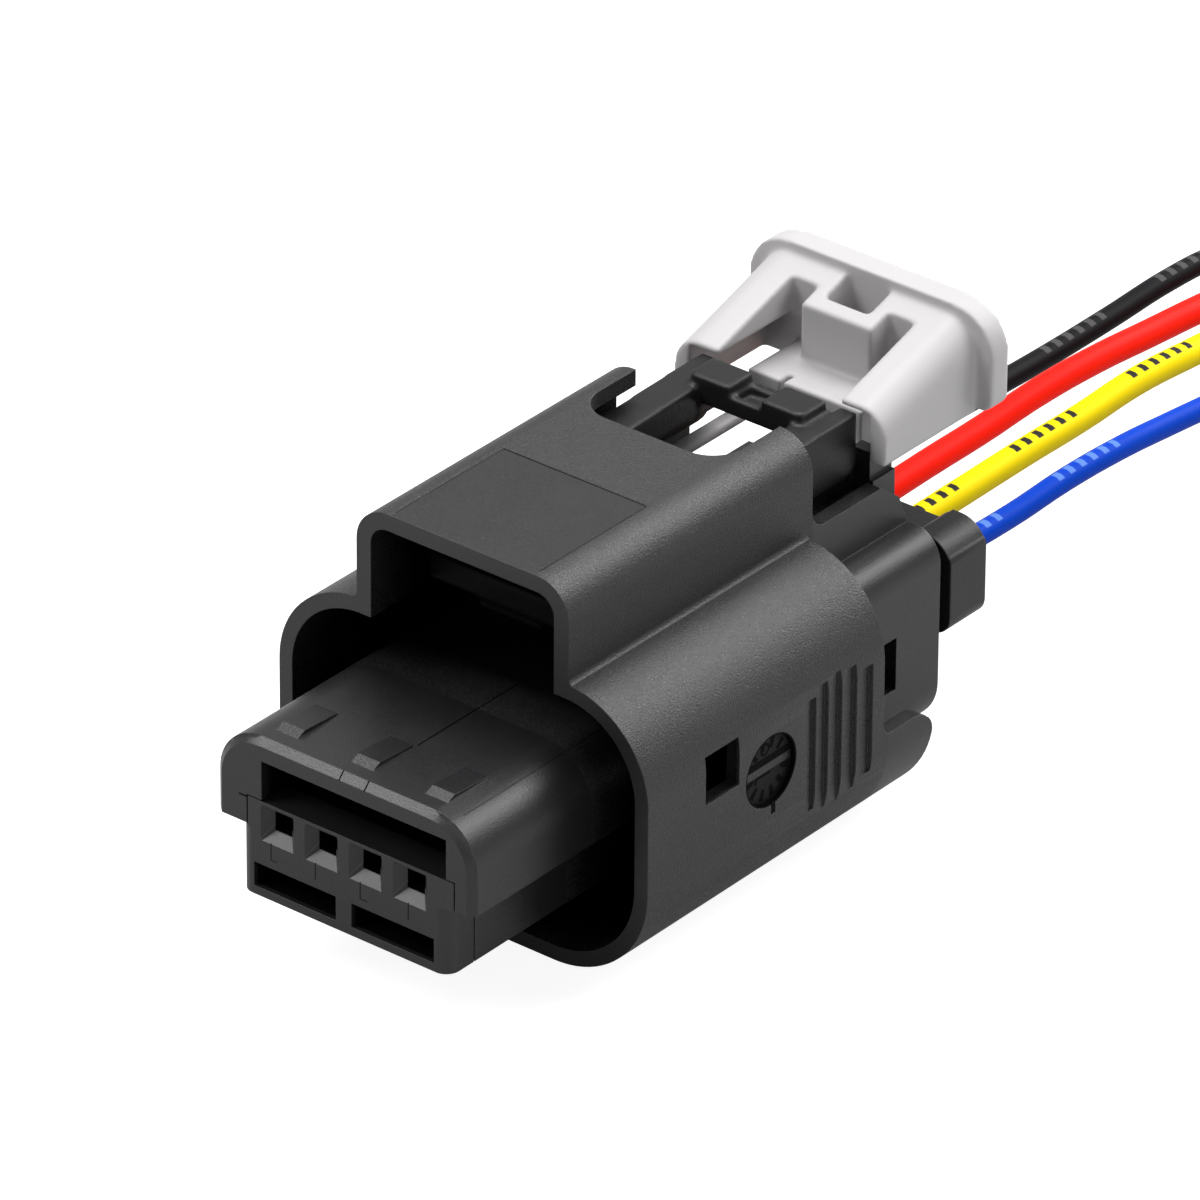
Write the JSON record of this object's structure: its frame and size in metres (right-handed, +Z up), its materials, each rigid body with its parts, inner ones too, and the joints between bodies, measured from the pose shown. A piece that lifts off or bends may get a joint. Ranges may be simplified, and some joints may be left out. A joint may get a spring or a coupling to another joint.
{
  "type": "sealed wire connector",
  "caption": "Sealed black wire connector for a vehicle loom, with a sprung latch, a light grey secondary lock and coloured leads that end in a coil.",
  "frame": {"origin": "middle of the connector body on the surface it lies on, halfway from the nose face to the back of the secondary lock", "axes": "+X to the right seen from the leads, +Y from the nose to the leads, +Z up"},
  "size_m": [0.0415, 0.1327, 0.0287],
  "materials": {
    "housing_black": "fine grained moulded plastic",
    "retainer_black": "smooth moulded plastic",
    "lever_black": "smooth satin moulded plastic",
    "cap_black": "smooth satin moulded plastic",
    "lock_grey": "satin light grey moulded plastic",
    "seal_rubber": "soft matt rubber",
    "terminal_brass": "tinned",
    "copper": "stranded",
    "wire_black": "smooth insulation",
    "wire_red": "smooth insulation",
    "wire_yellow": "smooth insulation",
    "wire_blue": "smooth insulation",
    "tie_black": "plain"
  },
  "bodies": {
    "connector": {"housing": "housing_black", "perimeter_seal": "seal_rubber", "rear_cap": "cap_black", "wire_seal": "seal_rubber", "terminal_1": "terminal_brass", "conductor_1": "copper", "terminal_2": "terminal_brass", "conductor_2": "copper", "terminal_3": "terminal_brass", "conductor_3": "copper", "terminal_4": "terminal_brass", "conductor_4": "copper", "black_wire": "wire_black", "red_wire": "wire_red", "yellow_wire": "wire_yellow", "blue_wire": "wire_blue", "wire_coil": "wire_black", "coil_tie": "tie_black"},
    "lever": {"latch_lever": "lever_black", "finger_grip": "lever_black", "lever_skirts": "lever_black"},
    "lock": {"secondary_lock": "lock_grey", "lock_prongs": "lock_grey"},
    "retainer": {"front_retainer": "retainer_black"}
  },
  "joints": [
    {"name": "lever_press", "type": "hinge", "parent": "connector", "child": "lever", "pos_m": [0, 0.0003, 0.022], "axis": [1, 0, 0], "range_deg": [-6, 0], "stiffness_Nm_per_rad": 0.05},
    {"name": "lock_slide", "type": "slide", "parent": "connector", "child": "lock", "axis": [0, -1, 0], "range_m": [0, 0.0032]},
    {"name": "retainer_slide", "type": "slide", "parent": "connector", "child": "retainer", "axis": [0, -1, 0], "range_m": [0, 0.0012]}
  ]
}
